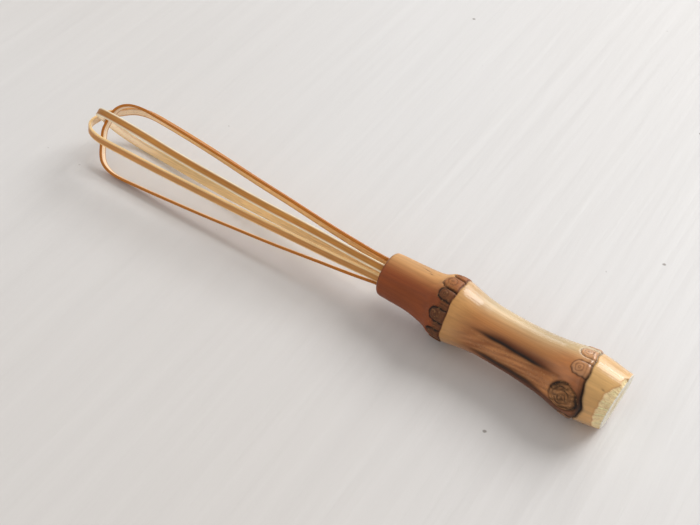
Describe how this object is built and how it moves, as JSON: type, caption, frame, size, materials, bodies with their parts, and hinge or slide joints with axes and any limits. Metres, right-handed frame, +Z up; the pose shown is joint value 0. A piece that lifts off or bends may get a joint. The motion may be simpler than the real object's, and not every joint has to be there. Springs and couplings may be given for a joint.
{
  "type": "bamboo whisk",
  "caption": "Small hand whisk with a bamboo root handle and bent flat bamboo splint loops, for stirring powdered tea and other drinks.",
  "frame": {"origin": "centre of the bounding box's base, on the surface the whisk lies on", "axes": "+X along the whisk from the loops towards the handle's cut end, +Z up, +Y across"},
  "size_m": [0.2126, 0.0304, 0.0251],
  "materials": {
    "handle_bamboo": "scorched and polished bamboo skin",
    "splint_bamboo": "satin split bamboo",
    "peg_bamboo": "raw cut bamboo"
  },
  "bodies": {
    "root": {"handle": "handle_bamboo", "loop_outer": "splint_bamboo", "loop_middle": "splint_bamboo", "loop_inner": "splint_bamboo", "wedge_peg": "peg_bamboo"}
  },
  "joints": []
}
